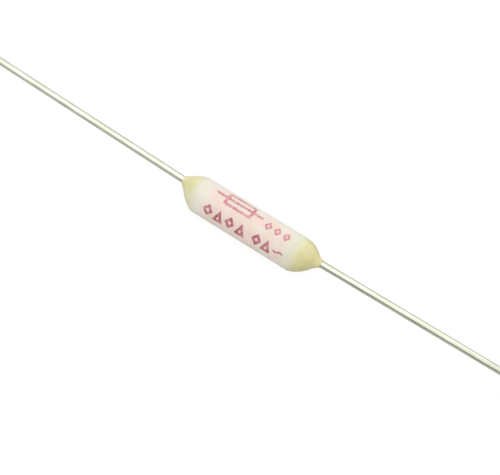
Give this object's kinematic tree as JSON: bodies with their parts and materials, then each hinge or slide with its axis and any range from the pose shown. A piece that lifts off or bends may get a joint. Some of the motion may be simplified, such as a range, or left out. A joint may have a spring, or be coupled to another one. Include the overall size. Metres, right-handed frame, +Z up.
{
  "type": "thermal fuse",
  "caption": "Axial thermal fuse with a white ceramic tube, and a cast resin seal and tinned lead wire at each end.",
  "frame": {"origin": "middle of the ceramic tube, on its axis", "axes": "+X along the tube towards the right wire, +Y to the side that both wires sit off centre, +Z up"},
  "size_m": [0.0893, 0.0042, 0.0042],
  "materials": {
    "white_ceramic": "fired, unglazed, smooth",
    "seal_resin": "cast epoxy, pale yellow, slightly clear",
    "tinned_copper": "bright tin over drawn copper wire",
    "fusible_alloy": "dull grey cast alloy",
    "flux_resin": "waxy amber resin",
    "marking_ink": "thin red print"
  },
  "bodies": {
    "root": {"ceramic_tube": "white_ceramic", "end_seal_left": "seal_resin", "end_seal_right": "seal_resin", "lead_wire_left": "tinned_copper", "lead_wire_right": "tinned_copper", "fusible_element": "fusible_alloy", "flux_coating": "flux_resin"}
  },
  "joints": []
}
